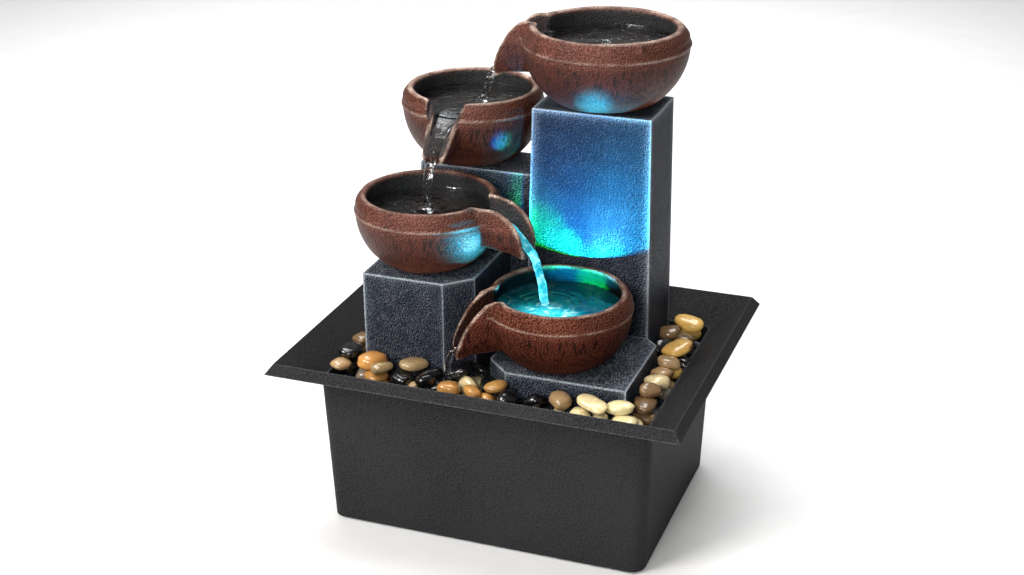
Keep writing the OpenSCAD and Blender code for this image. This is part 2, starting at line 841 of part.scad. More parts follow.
module pump_stator() {
    color([0.55, 0.55, 0.57]) {
        for (z = [-limb_z, limb_z])
            translate([0, 0, z]) pump_box(core_x0, core_x1, core_hy, core_hz);
        pump_box(core_x0, core_x0 + back_t, core_hy, limb_z - core_hz + lap / 2);
    }
}

module pump_coil() {
    color([0.72, 0.38, 0.18])
        difference() {
            pump_box(coil_x0, coil_x1, coil_hy, coil_hz);
            pump_box(core_x0 - coil_fit, core_x0 + back_t + coil_fit, core_hy + coil_fit, limb_z);
        }
}

module pump_shaft() {
    color([0.92, 0.92, 0.9]) pump_place(shaft_x0) cylinder(h = shaft_len, r = shaft_r);
}

// The volute's cover: its eye is crossed by three spokes that carry the shaft's front bearing
module volute_cover() {
    color([0.08, 0.08, 0.09])
        difference() {
            pump_box(volute_x1, cover_x1, volute_half, volute_half);
            difference() {
                pump_place(volute_x1 - lap) cylinder(h = cover_cut, r = eye_r);
                pump_place(volute_x1 - lap) cylinder(h = cover_cut, r = boss_r);
                for (a = [0, 120, 240])
                    pump_place(volute_x1 - lap) rotate([0, 0, a])
                        translate([0, -vane_t / 2, 0]) cube([eye_r + lap, vane_t, cover_cut]);
            }
            pump_place(volute_x1 - lap) cylinder(h = bearing_cut, r = shaft_r);
        }
}

module impeller() {
    color([0.88, 0.88, 0.86])
        difference() {
            union() {
                pump_place(rotor_x0) cylinder(h = hub_len, r = hub_r);
                pump_place(disc_x0) cylinder(h = disc_t, r = disc_r);
                for (a = [0:60:300])
                    pump_place(vane_x0) rotate([0, 0, a])
                        translate([vane_in, -vane_t / 2, 0]) cube([vane_len, vane_t, vane_h]);
            }
            pump_place(shaft_x0) cylinder(h = through_run, r = shaft_r + bearing_room);
        }
}

module rotor_magnet() {
    color([0.2, 0.19, 0.19])
        difference() {
            pump_place(magnet_x0) cylinder(h = magnet_len, r = well_r - well_room);
            pump_place(shaft_x0) cylinder(h = through_run, r = hub_r);
        }
}

// The intake cover slips over the volute; the flow regulator slides in the guides on its end
module intake_cover() {
    color([0.07, 0.07, 0.08]) {
        difference() {
            pump_box(intake_x0, intake_x1, intake_hy, intake_hy);
            pump_box(0, intake_x1 - intake_wall, intake_hy - intake_wall, intake_hy - intake_wall);
            for (k = [0:slot_n - 1])
                translate([tube_x + intake_x1 - slot_cut / 2, tube_y + slot_y0,
                           pump_z + slot_z0 + slot_pitch * k])
                    cube([slot_cut, slot_len, slot_w]);
            for (y = [-1, 1], k = [0:1])
                translate([tube_x + side_slot_x0 + side_slot_pitch * k,
                           tube_y + y * (intake_hy - intake_wall / 2) - intake_wall,
                           pump_z - side_slot_len / 2])
                    cube([slot_w, 2 * intake_wall, side_slot_len]);
        }
        for (y = [-1, 1])
            translate([tube_x + intake_x1, tube_y + guide_y + y * guide_half - guide_w / 2,
                       pump_z + guide_z0]) {
                cube([guide_depth, guide_w, guide_h]);
                translate([guide_depth - hook_t, (guide_w - hook_w) / 2 - y * hook_shift, 0])
                    cube([hook_t, hook_w, guide_h]);
            }
    }
}

module intake_foam() {
    half = intake_hy - intake_wall - cover_gap;
    color([0.25, 0.27, 0.3])
        pump_box(cover_x1 + cover_gap, intake_x1 - intake_wall - cover_gap, half, half);
}

module flow_regulator() {
    color([0.12, 0.12, 0.13])
        translate([tube_x + intake_x1 + slide_gap, tube_y + guide_y, pump_z]) {
            translate([0, -slider_w / 2, slider_z0]) cube([slider_t, slider_w, slider_h]);
            translate([slider_t - tab_root, -tab_w / 2, tab_t]) cube([tab_out, tab_w, tab_t]);
        }
}

// A suction cup: a stud under the motor block and a cup on the basin's floor
module pump_suckers() {
    h = pump_z - motor_h - floor_z;
    color([0.12, 0.12, 0.12])
        for (x = sucker_x, y = [-limb_z, limb_z])
            translate([tube_x + x, tube_y + y, floor_z])
                rotate_extrude($fn = 48)
                    polygon(concat(CUP, [[CUP[len(CUP) - 1][0], h], [0, h]]));
}

basin();
basin_feet();
cord_grommet();
tower_base();
pillar_tall();
pillar_middle();
pillar_front();
plinth();
bowl_top();
bowl_middle();
bowl_left();
bowl_right();
pebbles_cream();
pebbles_brown();
pebbles_black();
riser_tube();
outlet_fitting();
lamp_housing();
lamp_board();
lamp_leds();
lamp_seal();
lamp_lens();
lamp_lead();
lamp_plug();
lamp_socket();
branch_lead();
pump_body();
pump_end_plate();
pump_stator();
pump_coil();
pump_shaft();
volute_cover();
impeller();
rotor_magnet();
intake_cover();
intake_foam();
flow_regulator();
pump_suckers();
pump_lead();
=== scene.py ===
"""Looks of the tabletop water fountain: materials, rounded bowls and spouts, pebbles, water and lamp glow."""
import json
import math
import random

import bmesh
import bpy
import numpy as np
from mathutils import Euler, Matrix, Vector, noise

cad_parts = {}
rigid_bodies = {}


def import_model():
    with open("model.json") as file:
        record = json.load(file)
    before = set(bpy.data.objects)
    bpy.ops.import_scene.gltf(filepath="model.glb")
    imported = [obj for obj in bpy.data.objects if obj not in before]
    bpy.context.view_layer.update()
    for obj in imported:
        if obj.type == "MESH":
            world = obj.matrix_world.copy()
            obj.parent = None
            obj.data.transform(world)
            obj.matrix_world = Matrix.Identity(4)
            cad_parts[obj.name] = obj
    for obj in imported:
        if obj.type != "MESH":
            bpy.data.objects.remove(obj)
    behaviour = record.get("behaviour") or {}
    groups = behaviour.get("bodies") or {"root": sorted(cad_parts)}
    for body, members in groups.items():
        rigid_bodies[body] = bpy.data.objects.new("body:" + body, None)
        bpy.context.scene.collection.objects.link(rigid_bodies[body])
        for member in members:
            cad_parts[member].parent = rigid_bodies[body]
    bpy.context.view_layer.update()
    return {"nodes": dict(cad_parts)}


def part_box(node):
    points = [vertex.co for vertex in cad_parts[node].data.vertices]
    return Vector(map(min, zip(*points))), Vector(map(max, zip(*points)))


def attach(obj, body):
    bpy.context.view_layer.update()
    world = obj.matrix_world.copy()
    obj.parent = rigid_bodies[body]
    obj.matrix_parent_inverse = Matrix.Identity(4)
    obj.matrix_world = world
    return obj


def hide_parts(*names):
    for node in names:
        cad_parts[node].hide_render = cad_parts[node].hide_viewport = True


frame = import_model()
MM = 0.001
# Shift between a grain's two samples, as a share of its period; it points up and to the front left, towards
# the key light
GRAIN_STEP = 0.35


# ---------------------------------------------------------------- node helpers

def new_material(name):
    mat = bpy.data.materials.new(name)
    mat.use_nodes = True
    nodes = mat.node_tree.nodes
    links = mat.node_tree.links
    return mat, nodes, links, nodes["Principled BSDF"]


def texture(nodes, links, kind, coords, scale, **values):
    """A procedural texture node on the given coordinates."""
    tex = nodes.new("ShaderNodeTex" + kind)
    tex.inputs["Scale"].default_value = scale
    for key, value in values.items():
        tex.inputs[key].default_value = value
    links.new(coords, tex.inputs["Vector"])
    return tex


def ramp(nodes, links, source, stops, ease="LINEAR"):
    """A colour ramp from (position, grey or colour) stops."""
    node = nodes.new("ShaderNodeValToRGB")
    node.color_ramp.interpolation = ease
    elements = node.color_ramp.elements
    while len(elements) < len(stops):
        elements.new(0.5)
    for element, (position, value) in zip(elements, stops):
        element.position = position
        colour = (value, value, value) if isinstance(value, (int, float)) else value
        element.color = (*colour, 1)
    links.new(source, node.inputs["Fac"])
    return node.outputs["Color"]


def mix(nodes, links, factor, a, b, blend="MIX"):
    """Mixes two colours, each a socket or a colour, by a factor that is a socket or a number."""
    node = nodes.new("ShaderNodeMix")
    node.data_type = "RGBA"
    node.blend_type = blend
    for key, value in (("Factor", factor), ("A", a), ("B", b)):
        socket = node.inputs[key]
        if isinstance(value, bpy.types.NodeSocket):
            links.new(value, socket)
        elif isinstance(value, (int, float)):
            socket.default_value = value
        else:
            socket.default_value = (*value, 1)
    return node.outputs["Result"]


def math_node(nodes, links, operation, a, b=0.0):
    """A sum, product or the like of two values, each a socket or a number."""
    node = nodes.new("ShaderNodeMath")
    node.operation = operation
    for socket, value in ((node.inputs[0], a), (node.inputs[1], b)):
        if isinstance(value, bpy.types.NodeSocket):
            links.new(value, socket)
        else:
            socket.default_value = value
    return node.outputs[0]


def bump(nodes, links, bsdf, height, strength, distance):
    """Fine relief on a shader's normal."""
    node = nodes.new("ShaderNodeBump")
    node.inputs["Strength"].default_value = strength
    node.inputs["Distance"].default_value = distance
    links.new(height, node.inputs["Height"])
    links.new(node.outputs["Normal"], bsdf.inputs["Normal"])


def object_coords(nodes):
    return nodes.new("ShaderNodeTexCoord").outputs["Object"]


def raised_grain(nodes, links, coords, scale, gain=1.4):
    """A leathery grain: its height, and a map of painted light and shade on it, bright on the slopes that face
    up and to the front left, towards the key light, and dark on those that face away.
    """
    step = GRAIN_STEP / scale
    noisy = {"Detail": 2, "Roughness": 0.55, "Distortion": 0.4}
    here = texture(nodes, links, "Noise", coords, scale, **noisy)
    moved = nodes.new("ShaderNodeVectorMath")
    moved.operation = "ADD"
    links.new(coords, moved.inputs[0])
    moved.inputs[1].default_value = (-step, -0.5 * step, step)
    there = texture(nodes, links, "Noise", moved.outputs["Vector"], scale, **noisy)
    # painted light and shade: the grain's height minus its height one step towards the key light
    rise = math_node(nodes, links, "SUBTRACT", here.outputs["Fac"], there.outputs["Fac"])
    scaled = math_node(nodes, links, "MULTIPLY", rise, gain)
    return here.outputs["Fac"], math_node(nodes, links, "ADD", scaled, 0.5)


def bevel_mask(nodes, links, radius, low, high):
    """White near sharp edges: how far a rounded normal turns away from the true one."""
    bevel = nodes.new("ShaderNodeBevel")
    bevel.samples = 8
    bevel.inputs["Radius"].default_value = radius
    geometry = nodes.new("ShaderNodeNewGeometry")
    dot = nodes.new("ShaderNodeVectorMath")
    dot.operation = "DOT_PRODUCT"
    links.new(bevel.outputs["Normal"], dot.inputs[0])
    links.new(geometry.outputs["Normal"], dot.inputs[1])
    turned = math_node(nodes, links, "SUBTRACT", 1.0, dot.outputs["Value"])
    return ramp(nodes, links, turned, [(low, 0), (high, 1)])


# ---------------------------------------------------------------- camera and studio

CAMERA = {"azimuth": 20.25, "elevation": 23.62, "roll": -0.25, "lens": 59.18, "sensor": 36, "away": 0.8613,
          "aim": (-5.76, 0, 116.9)}


def camera():
    """The camera that frames the object as it was seen: angles in degrees, the aim in millimetres."""
    data = bpy.data.cameras.new("camera")
    data.sensor_width = CAMERA["sensor"]
    data.lens = CAMERA["lens"]
    data.clip_start = 0.01
    cam = bpy.data.objects.new("camera", data)
    bpy.context.scene.collection.objects.link(cam)
    azimuth, elevation, roll = (math.radians(CAMERA[key]) for key in ("azimuth", "elevation", "roll"))
    aim = Vector(CAMERA["aim"]) * MM
    back = Vector((math.sin(azimuth) * math.cos(elevation),
                   -math.cos(azimuth) * math.cos(elevation), math.sin(elevation)))
    cam.location = aim + back * CAMERA["away"]
    cam.rotation_euler = (back.to_track_quat("Z", "Y").to_matrix() @ Matrix.Rotation(roll, 3, "Z")).to_euler()
    bpy.context.scene.camera = cam


def light(name, kind, place, energy, colour=(1, 1, 1), aim=None, **settings):
    """A light at a place, turned to shine at its aim."""
    data = bpy.data.lights.new(name, kind)
    data.energy = energy
    data.color = colour
    for key, value in settings.items():
        setattr(data, key, value)
    obj = bpy.data.objects.new(name, data)
    bpy.context.scene.collection.objects.link(obj)
    obj.location = place
    if aim is not None:
        obj.rotation_euler = (Vector(place) - Vector(aim)).to_track_quat("Z", "Y").to_euler()
    return obj


def studio():
    """A pale floor under soft lights: one from the front left, a weaker one from the front, and one above."""
    bpy.context.scene.view_settings.view_transform = "Standard"
    centre = (0, 0, 0.12)
    light("key", "AREA", (-0.6, -0.8, 0.9), 14, (1, 0.985, 0.96), centre, size=0.5)
    light("front", "AREA", (0.13, -0.95, 0.5), 6, (1, 0.985, 0.96), centre, size=0.35)
    light("top", "AREA", (-0.1, 0.35, 1.1), 16, (1, 1, 1), centre, size=0.9)
    light("floor_wash", "SPOT", (-0.2, 0.5, 0.9), 20, (1, 1, 1), (-0.45, 1.15, 0),
          shadow_soft_size=0.1, spot_size=math.radians(100), spot_blend=1.0)
    world = bpy.data.worlds.new("studio")
    bpy.context.scene.world = world
    world.use_nodes = True
    world.node_tree.nodes["Background"].inputs["Color"].default_value = (1, 1, 1, 1)
    world.node_tree.nodes["Background"].inputs["Strength"].default_value = 0.16
    mesh = bpy.data.meshes.new("floor")
    half = 6
    corners = [(-half, -half, 0), (half, -half, 0), (half, half, 0), (-half, half, 0)]
    mesh.from_pydata(corners, [], [(0, 1, 2, 3)])
    floor = bpy.data.objects.new("floor", mesh)
    bpy.context.scene.collection.objects.link(floor)
    mat, nodes, links, bsdf = new_material("floor_paper")
    grain = texture(nodes, links, "Noise", object_coords(nodes), 40)
    links.new(ramp(nodes, links, grain.outputs["Fac"], [(0.3, 0.88), (0.7, 0.91)]), bsdf.inputs["Base Color"])
    bsdf.inputs["Roughness"].default_value = 0.7
    mesh.materials.append(mat)


# ---------------------------------------------------------------- materials

# Heights, in metres, over which the castings' pale flecks (dry-brushed colour and painted highlight) go from
# full at their feet to a pillar's own share
BRUSH_FADE = (0.132, 0.15)


def basin_plastic():
    """Charcoal plastic with a leathery grain, its tone painted light and shade (lighter on the slopes that
    face the key light), faintly worn pale along its edges.
    """
    mat, nodes, links, bsdf = new_material("basin_charcoal")
    at = object_coords(nodes)
    height, grain_light_shade = raised_grain(nodes, links, at, 1400)
    cloudy = texture(nodes, links, "Noise", at, 14, Detail=4)
    # painted light and shade on the grain: lighter on the slopes that face the key light, darker on those that
    # face away
    base = ramp(nodes, links, grain_light_shade, [(0.32, (0.008, 0.008, 0.009)), (0.5, (0.018, 0.018, 0.019)),
                                    (0.68, (0.034, 0.034, 0.036))])
    base = mix(nodes, links, ramp(nodes, links, cloudy.outputs["Fac"], [(0.35, 0.0), (0.7, 0.35)]),
               base, (0.034, 0.035, 0.038))
    worn = math_node(nodes, links, "MULTIPLY", bevel_mask(nodes, links, 0.0012, 0.02, 0.2),
                     ramp(nodes, links, height, [(0.35, 0.1), (0.65, 0.8)]))
    base = mix(nodes, links, worn, base, (0.12, 0.125, 0.13))
    links.new(base, bsdf.inputs["Base Color"])
    links.new(ramp(nodes, links, height, [(0.3, 0.42), (0.7, 0.62)]), bsdf.inputs["Roughness"])
    bsdf.inputs["Specular IOR Level"].default_value = 0.04
    bump(nodes, links, bsdf, height, 0.6, 0.0008)
    return mat


def slate_cast(name, fleck_and_shade_share, wear):
    """Cast stone painted blue-black, with pale flecks over its grain and its edges: dry-brushed colour and a
    painted highlight on the slopes that face the key light, paler on faces that look up, and painted shade on
    the slopes that face away.
    """
    mat, nodes, links, bsdf = new_material(name)
    at = object_coords(nodes)
    height, grain_light_shade = raised_grain(nodes, links, at, 1350, 1.2)
    patchy = texture(nodes, links, "Noise", at, 210, Detail=3, Roughness=0.6)
    cloudy = texture(nodes, links, "Noise", at, 24, Detail=5, Roughness=0.6)
    ground = ramp(nodes, links, cloudy.outputs["Fac"],
                  [(0.3, (0.006, 0.008, 0.018)), (0.5, (0.01, 0.013, 0.026)), (0.72, (0.015, 0.019, 0.035))])
    place = nodes.new("ShaderNodeSeparateXYZ")
    links.new(at, place.inputs["Vector"])
    brushed = ramp(nodes, links, place.outputs["Z"], [(BRUSH_FADE[0], 1), (BRUSH_FADE[1], fleck_and_shade_share)])
    # pale flecks on the grain's slopes that face the key light: dry-brushed colour and a painted highlight
    fleck_and_highlight = math_node(nodes, links, "MULTIPLY", ramp(nodes, links, grain_light_shade, [(0.5, 0), (0.64, 1)]),
                      ramp(nodes, links, patchy.outputs["Fac"], [(0.35, 0.45), (0.6, 1)]))
    fleck_and_highlight = math_node(nodes, links, "MULTIPLY", fleck_and_highlight, brushed)
    # painted light from above: the flecks are paler on faces that look up
    facing = nodes.new("ShaderNodeSeparateXYZ")
    links.new(nodes.new("ShaderNodeNewGeometry").outputs["Normal"], facing.inputs["Vector"])
    fleck_tone_lit_from_above = ramp(nodes, links, facing.outputs["Z"], [(0.4, (0.102, 0.112, 0.13)), (0.9, (0.26, 0.285, 0.32))])
    base = mix(nodes, links, fleck_and_highlight, ground, fleck_tone_lit_from_above)
    # painted shade: the grain's slopes that face away from the key light are darkened
    shaded_slope_darkening = ramp(nodes, links, grain_light_shade, [(0.3, 1 - 0.8 * fleck_and_shade_share), (0.5, 1)])
    base = mix(nodes, links, 1.0, base, shaded_slope_darkening, "MULTIPLY")
    # pale worn edges, heaviest on the grain's slopes that face the key light, where they are a painted
    # highlight
    worn = math_node(nodes, links, "MULTIPLY", bevel_mask(nodes, links, 0.0075, 0.0, 0.12),
                     ramp(nodes, links, grain_light_shade, [(0.4, 0.15 * wear), (0.62, wear)]))
    base = mix(nodes, links, worn, base, (0.3, 0.35, 0.4))
    # a thin pale line along the sharpest edges: wear and a painted highlight, heaviest on the slopes that face
    # the key light
    crisp = math_node(nodes, links, "MULTIPLY", bevel_mask(nodes, links, 0.0024, 0.015, 0.11),
                      ramp(nodes, links, grain_light_shade, [(0.35, 0.35), (0.6, 1)]))
    base = mix(nodes, links, crisp, base, (0.46, 0.52, 0.58))
    bsdf.inputs["Specular IOR Level"].default_value = 0.06
    links.new(base, bsdf.inputs["Base Color"])
    links.new(ramp(nodes, links, height, [(0.3, 0.38), (0.7, 0.6)]), bsdf.inputs["Roughness"])
    bump(nodes, links, bsdf, height, 0.7, 0.001)
    return mat


def pottery(name, inner_tone, gloss):
    """Red-brown brushed pottery, black inside, with a painted highlight and painted shade on its grain's
    slopes; a bowl's mask says where it is inside, where its edges are pale (worn, and a painted highlight) and
    where it is streaked.
    """
    mat, nodes, links, bsdf = new_material(name)
    at = object_coords(nodes)
    mask = nodes.new("ShaderNodeVertexColor")
    mask.layer_name = "mask"
    split = nodes.new("ShaderNodeSeparateColor")
    links.new(mask.outputs["Color"], split.inputs["Color"])
    inside, edge, streaky = split.outputs["Red"], split.outputs["Green"], split.outputs["Blue"]
    height, grain_light_shade = raised_grain(nodes, links, at, 1300, 1.1)
    cloudy = texture(nodes, links, "Noise", at, 38, Detail=4)
    base = ramp(nodes, links, cloudy.outputs["Fac"],
                [(0.3, (0.038, 0.009, 0.005)), (0.5, (0.075, 0.017, 0.009)), (0.7, (0.115, 0.03, 0.017))])
    # painted highlight on the grain's slopes that face the key light
    base = mix(nodes, links, ramp(nodes, links, grain_light_shade, [(0.5, 0), (0.68, 0.6)]), base, (0.25, 0.105, 0.07))
    # painted shade on the grain's slopes that face away from the key light
    base = mix(nodes, links, ramp(nodes, links, grain_light_shade, [(0.34, 0.9), (0.49, 0)]), base, (0.01, 0.003, 0.002))
    stretched = nodes.new("ShaderNodeMapping")
    stretched.inputs["Scale"].default_value = (1, 1, 0.03)
    links.new(at, stretched.inputs["Vector"])
    streaks = texture(nodes, links, "Noise", stretched.outputs["Vector"], 760, Detail=1, Roughness=0.5)
    dark = math_node(nodes, links, "MULTIPLY", streaky,
                     ramp(nodes, links, streaks.outputs["Fac"], [(0.55, 0), (0.63, 0.75)]))
    base = mix(nodes, links, dark, base, (0.008, 0.006, 0.006))
    # darker over the outside of the body, from above the foot to below the rim's band
    body_darkening = math_node(nodes, links, "MULTIPLY", streaky, 0.75)
    base = mix(nodes, links, body_darkening, base, (0.5, 0.38, 0.36), "MULTIPLY")
    # pale edges, patchy: wear and a painted highlight, heaviest on the slopes that face the key light
    patchy = texture(nodes, links, "Noise", at, 130, Detail=2)
    rubbed_and_highlit_edge = math_node(nodes, links, "MULTIPLY", edge, ramp(nodes, links, grain_light_shade, [(0.34, 0.2), (0.58, 1)]))
    rubbed_and_highlit_edge = math_node(nodes, links, "MULTIPLY", rubbed_and_highlit_edge,
                       ramp(nodes, links, patchy.outputs["Fac"], [(0.4, 0.25), (0.6, 1)]))
    base = mix(nodes, links, rubbed_and_highlit_edge, base, (0.62, 0.46, 0.37))
    # the black inside, with a painted highlight on the grain's slopes that face the key light
    black = ramp(nodes, links, grain_light_shade, [(0.4, (inner_tone,) * 3), (0.68, (inner_tone * 14,) * 3)])
    base = mix(nodes, links, inside, base, black)
    bsdf.inputs["Specular IOR Level"].default_value = gloss
    links.new(base, bsdf.inputs["Base Color"])
    links.new(ramp(nodes, links, height, [(0.3, 0.36), (0.7, 0.55)]), bsdf.inputs["Roughness"])
    bump(nodes, links, bsdf, height, 0.6, 0.0008)
    return mat


def water():
    """Clear running water."""
    mat, nodes, links, bsdf = new_material("running_water")
    ripple = texture(nodes, links, "Noise", object_coords(nodes), 160, Detail=2, Distortion=0.8)
    bsdf.inputs["Base Color"].default_value = (0.95, 0.98, 1, 1)
    bsdf.inputs["Transmission Weight"].default_value = 1
    bsdf.inputs["IOR"].default_value = 1.33
    links.new(ramp(nodes, links, ripple.outputs["Fac"], [(0.3, 0.02), (0.7, 0.08)]), bsdf.inputs["Roughness"])
    bump(nodes, links, bsdf, ripple.outputs["Fac"], 0.35, 0.0012)
    return mat


def pebble_stone():
    """Polished stone with veins and dots over each stone's own tone."""
    mat, nodes, links, bsdf = new_material("river_pebble")
    at = object_coords(nodes)
    mask = nodes.new("ShaderNodeVertexColor")
    mask.layer_name = "tone"
    veins = texture(nodes, links, "Noise", at, 170, Detail=5, Roughness=0.6, Distortion=1.6)
    dots = texture(nodes, links, "Noise", at, 900, Detail=2)
    base = mix(nodes, links, ramp(nodes, links, veins.outputs["Fac"], [(0.35, 0), (0.7, 0.6)]),
               mask.outputs["Color"], (0.2, 0.12, 0.06), "MULTIPLY")
    base = mix(nodes, links, ramp(nodes, links, veins.outputs["Fac"], [(0.5, 0), (0.6, 0.5)]), base,
               mask.outputs["Color"])
    base = mix(nodes, links, ramp(nodes, links, dots.outputs["Fac"], [(0.6, 0), (0.72, 0.35)]), base,
               (0.05, 0.035, 0.025), "MULTIPLY")
    links.new(base, bsdf.inputs["Base Color"])
    links.new(ramp(nodes, links, dots.outputs["Fac"], [(0.3, 0.14), (0.7, 0.3)]), bsdf.inputs["Roughness"])
    bsdf.inputs["Coat Weight"].default_value = 0.6
    bsdf.inputs["Coat Roughness"].default_value = 0.08
    bump(nodes, links, bsdf, veins.outputs["Fac"], 0.12, 0.0008)
    return mat


def speckled(name, dark, pale, scale, rough, metallic=0.0, depth=0.0002):
    """Moulded, cast or drawn material: two close tones in a fine grain, which its gloss and relief share."""
    mat, nodes, links, bsdf = new_material(name)
    grain = texture(nodes, links, "Noise", object_coords(nodes), scale, Detail=3, Roughness=0.6)
    tone = ramp(nodes, links, grain.outputs["Fac"], [(0.35, dark), (0.65, pale)])
    links.new(tone, bsdf.inputs["Base Color"])
    links.new(ramp(nodes, links, grain.outputs["Fac"], [(0.3, rough * 0.8), (0.7, rough * 1.2)]),
              bsdf.inputs["Roughness"])
    bsdf.inputs["Metallic"].default_value = metallic
    bump(nodes, links, bsdf, grain.outputs["Fac"], 0.3, depth)
    return mat


def glowing(name, colour, strength):
    """A part that gives off light of its own colour."""
    mat, nodes, links, bsdf = new_material(name)
    grain = texture(nodes, links, "Noise", object_coords(nodes), 900, Detail=2)
    dim = tuple(c * 0.9 for c in colour)
    links.new(ramp(nodes, links, grain.outputs["Fac"], [(0.3, dim), (0.7, colour)]), bsdf.inputs["Base Color"])
    bsdf.inputs["Emission Color"].default_value = (*colour, 1)
    bsdf.inputs["Emission Strength"].default_value = strength
    return mat


# ---------------------------------------------------------------- pieces

def add_object(name, mesh, body, place=(0, 0, 0)):
    """Adds a piece that rides with a body."""
    obj = bpy.data.objects.new(name, mesh)
    bpy.context.scene.collection.objects.link(obj)
    obj.location = place
    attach(obj, body)
    return obj


def node_object(name):
    """A CAD node's object."""
    return next(o for o in bpy.context.scene.objects if o.type == "MESH" and o.name.split(".")[0] == name)


def dress(names, mat, bevel=0.0):
    """Gives CAD nodes their finish, and softens their hard edges."""
    for name in names:
        obj = node_object(name)
        obj.data.materials.clear()
        obj.data.materials.append(mat)
        if bevel:
            soften = obj.modifiers.new("soften", "BEVEL")
            soften.width = bevel
            soften.segments = 3
            soften.limit_method = "ANGLE"
            soften.angle_limit = math.radians(35)
            soften.harden_normals = False


# Bowls, in millimetres: centre and base height, radial factor, height factor, then the spout's direction in
# degrees, where its top starts to fall, its tip's distance and drop, its half width there, and the depth of
# the pool's surface below the rim
BOWLS = {
    "bowl_top": ((30.3, 39.3, 208.1), 1.11, 1.06, 177, 40, 59, 32, 8, 8.4),
    "bowl_middle": ((-43.5, 45, 169.2), 0.99, 1.04, 266, 27, 49, 29, 6, 8),
    "bowl_left": ((-45.9, -12.2, 131.8), 0.99, 0.985, 352, 39, 57.5, 26, 8, 8.6),
    "bowl_right": ((26.7, -20.6, 91.9), 0.98, 0.99, 210, 33, 53, 33, 8, 8.8),
}
# Beads of glaze that ran down a rim: direction in degrees, height, width and thickness
DRIPS = {"bowl_top": ((-49, 35.4, 1.5, 2.2), (-49, 33.2, 1.0, 1.2))}
MM_PER_DEGREE = 0.65
# Height of a bowl of height factor 1
BOWL_H = 37.6
# Clay made from a bowl's solid: remeshing size, rounds of smoothing, and the pull that marks an edge
VOXEL = 0.8 * MM
SMOOTHINGS = 7
EDGE_SMOOTHINGS = 3
EDGE_TURN = (0.03 * MM, 0.07 * MM)
# The hollow's profile is an arc: its centre's distance from the axis and height, and its radius; then how far
# off that profile still counts as inside, and the height of the hollow's floor
HOLLOW_SHIFT = 4
HOLLOW_H = 29
HOLLOW_R = 28.2
HOLLOW_SKIN = 0.9
HOLLOW_FLOOR = 6.6
# The spout's dark channel: where it starts, and half its width
CHANNEL_START = 30
CHANNEL_HALF = 15
# Streaks fade in above a bowl's foot and out below its rim's band, and the spout's outside has no band
STREAKS_IN = (5, 11)
STREAKS_OUT = (24, 28)
SPOUT_FROM = (39.5, 41)
# Rings round the outside below the rim: height, half width, and how far each stands out
RIM_RINGS = {"band": (33.2, 2.3, 1.0), "bead": (29.2, 0.45, 0.25), "groove": (27.8, 0.7, -0.35)}
# Unevenness of the clay: its waves per metre, and its height
WOBBLE_SCALE = 55
WOBBLE = 0.35 * MM


def smoothstep(low, high, x):
    """0 below low, 1 above high, and a smooth rise between."""
    t = np.clip((x - low) / (high - low), 0, 1)
    return t * t * (3 - 2 * t)


def evaluated_mesh(obj):
    """The object's mesh with its modifiers applied, as a new mesh."""
    depsgraph = bpy.context.evaluated_depsgraph_get()
    return bpy.data.meshes.new_from_object(obj.evaluated_get(depsgraph))


def coordinates(mesh):
    """A mesh's vertex places, one row each."""
    co = np.empty(len(mesh.vertices) * 3)
    mesh.vertices.foreach_get("co", co)
    return co.reshape(-1, 3)


def neighbour_mean(values, pairs, count):
    """Mean of each vertex's neighbours."""
    total = np.zeros_like(values)
    np.add.at(total, pairs[:, 0], values[pairs[:, 1]])
    np.add.at(total, pairs[:, 1], values[pairs[:, 0]])
    return total / count


def edge_pairs(mesh):
    """The two vertices of each edge, and how many edges each vertex has."""
    pairs = np.empty(len(mesh.edges) * 2, int)
    mesh.edges.foreach_get("vertices", pairs)
    pairs = pairs.reshape(-1, 2)
    return pairs, np.maximum(np.bincount(pairs.ravel(), minlength=len(mesh.vertices)), 1)[:, None]


